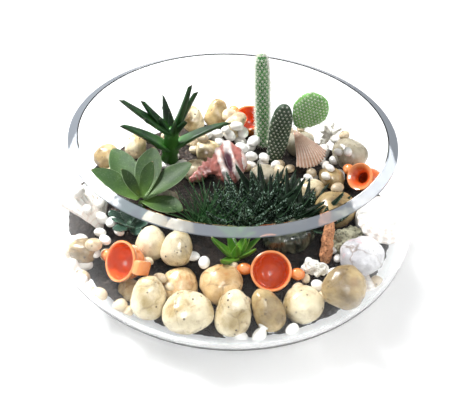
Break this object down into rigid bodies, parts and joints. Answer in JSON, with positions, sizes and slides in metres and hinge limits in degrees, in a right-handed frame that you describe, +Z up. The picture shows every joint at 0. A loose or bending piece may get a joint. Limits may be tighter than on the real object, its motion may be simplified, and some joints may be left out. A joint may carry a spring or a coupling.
{
  "type": "glass plant terrarium",
  "caption": "Round open glass bowl with a sloping cut rim, bedded with soil and river stones and planted with succulents, cacti, shells and little clay pots.",
  "frame": {"origin": "centre of the bowl's foot, on the surface it stands on", "axes": "+Z up along the bowl's axis; -Y towards the viewer's side, where the soil is lowest; +X to the viewer's right"},
  "size_m": [0.28, 0.28, 0.131],
  "materials": {
    "clear_glass": "clear, polished",
    "soil": "damp potting soil, dark and dull",
    "cream_stone": "river worn, cream with brown stains",
    "tan_stone": "river worn, tan with dark specks",
    "amber_stone": "river worn, cream with amber marks",
    "grey_stone": "river worn, pale grey",
    "white_stone": "white, lightly veined",
    "green_rock": "dark green, glassy",
    "terracotta": "orange clay with a thin gloss",
    "pink_shell": "pink and cream shell, satin",
    "white_shell": "white shell, satin",
    "peach_shell": "peach shell with pale ribs",
    "orange_coral": "orange coral, rough",
    "white_coral": "white coral, rough",
    "grey_coral": "grey-green coral, rough",
    "rosette_green": "fleshy leaf, waxy sheen",
    "aloe_green": "fleshy leaf, waxy sheen",
    "dark_leaf": "fleshy leaf, waxy sheen",
    "fresh_leaf": "fleshy leaf, waxy sheen",
    "toothed_leaf": "fleshy leaf, waxy sheen",
    "cactus_green": "fleshy leaf, waxy sheen",
    "cactus_dark_green": "fleshy leaf, waxy sheen"
  },
  "bodies": {
    "root": {"aloe": "aloe_green", "back_pot": "terracotta", "back_stone_1": "cream_stone", "back_stone_2": "tan_stone", "back_stone_3": "cream_stone", "back_stone_4": "cream_stone", "back_stone_5": "cream_stone", "banded_tuft": "dark_leaf", "branch_coral": "white_coral", "cactus_column": "cactus_green", "cactus_dark_pad": "cactus_dark_green", "cactus_round_pad": "cactus_green", "conch_shell": "pink_shell", "coral_chip": "white_coral", "coral_stick": "orange_coral", "curled_shell": "white_shell", "fan_shell": "white_shell", "fine_tuft": "dark_leaf", "flat_shell": "white_shell", "fresh_tuft": "fresh_leaf", "front_pot": "terracotta", "front_stone_1": "cream_stone", "front_stone_2": "cream_stone", "front_stone_3": "cream_stone", "front_stone_4": "cream_stone", "front_stone_5": "tan_stone", "front_stone_6": "cream_stone", "front_stone_7": "tan_stone", "glass_bowl": "clear_glass", "glass_rock": "green_rock", "jug": "terracotta", "left_pot": "terracotta", "left_stone_1": "tan_stone", "left_stone_2": "tan_stone", "left_stone_3": "cream_stone", "left_stone_4": "grey_stone", "marble_stone": "white_stone", "right_stone_1": "tan_stone", "right_stone_2": "cream_stone", "right_stone_3": "tan_stone", "right_stone_4": "grey_stone", "right_stone_5": "grey_stone", "right_stone_6": "grey_stone", "rosette_leaf_back": "rosette_green", "rosette_leaf_back_left": "rosette_green", "rosette_leaf_front": "rosette_green", "rosette_leaf_inner_left": "rosette_green", "rosette_leaf_inner_right": "rosette_green", "rosette_leaf_left": "rosette_green", "rosette_leaf_right": "rosette_green", "rosette_stem": "rosette_green", "rough_coral": "grey_coral", "scallop_shell": "peach_shell", "second_stone_1": "amber_stone", "second_stone_2": "amber_stone", "second_stone_3": "cream_stone", "second_stone_4": "cream_stone", "soil": "soil", "toothed_tuft": "toothed_leaf", "white_stone": "white_stone"}
  },
  "joints": []
}
